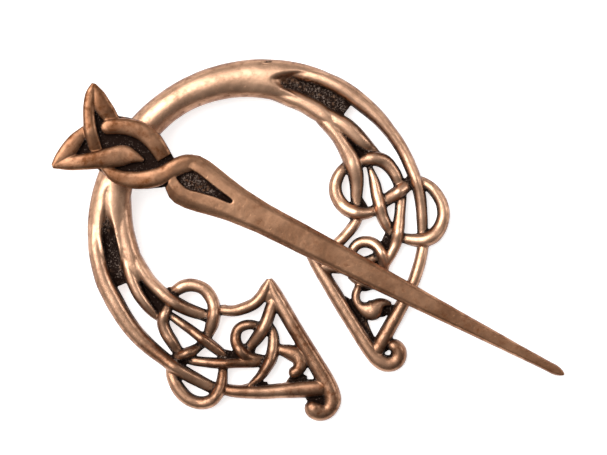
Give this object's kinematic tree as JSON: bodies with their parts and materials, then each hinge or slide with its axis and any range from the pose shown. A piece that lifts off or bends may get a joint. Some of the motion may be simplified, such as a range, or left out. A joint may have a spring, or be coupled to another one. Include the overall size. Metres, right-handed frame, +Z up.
{
  "type": "penannular brooch",
  "caption": "Open ring brooch with interlaced openwork ends and a long pin with a knotwork head that swings on the ring.",
  "frame": {"origin": "middle of the brooch's bounding box at the height of the surface that it lies on", "axes": "+Y from the pin's tip towards its head, +Z up out of the brooch's front, +X to the right as it is looked down on"},
  "size_m": [0.0592, 0.0874, 0.012],
  "materials": {
    "hoop_copper": "antiqued copper, rubbed bright on the high spots, with dark patina in the hollows",
    "pin_copper": "antiqued copper, browner than the hoop, finely pitted, with dark patina in the hollows"
  },
  "bodies": {
    "hoop": {"hoop": "hoop_copper"},
    "pin": {"pin": "pin_copper"}
  },
  "joints": [
    {"name": "pin_swing", "type": "hinge", "parent": "hoop", "child": "pin", "pos_m": [-0.01087, 0.0312, 0.00474], "axis": [-0.9211, -0.3893, 0], "range_deg": [0, 180]}
  ]
}
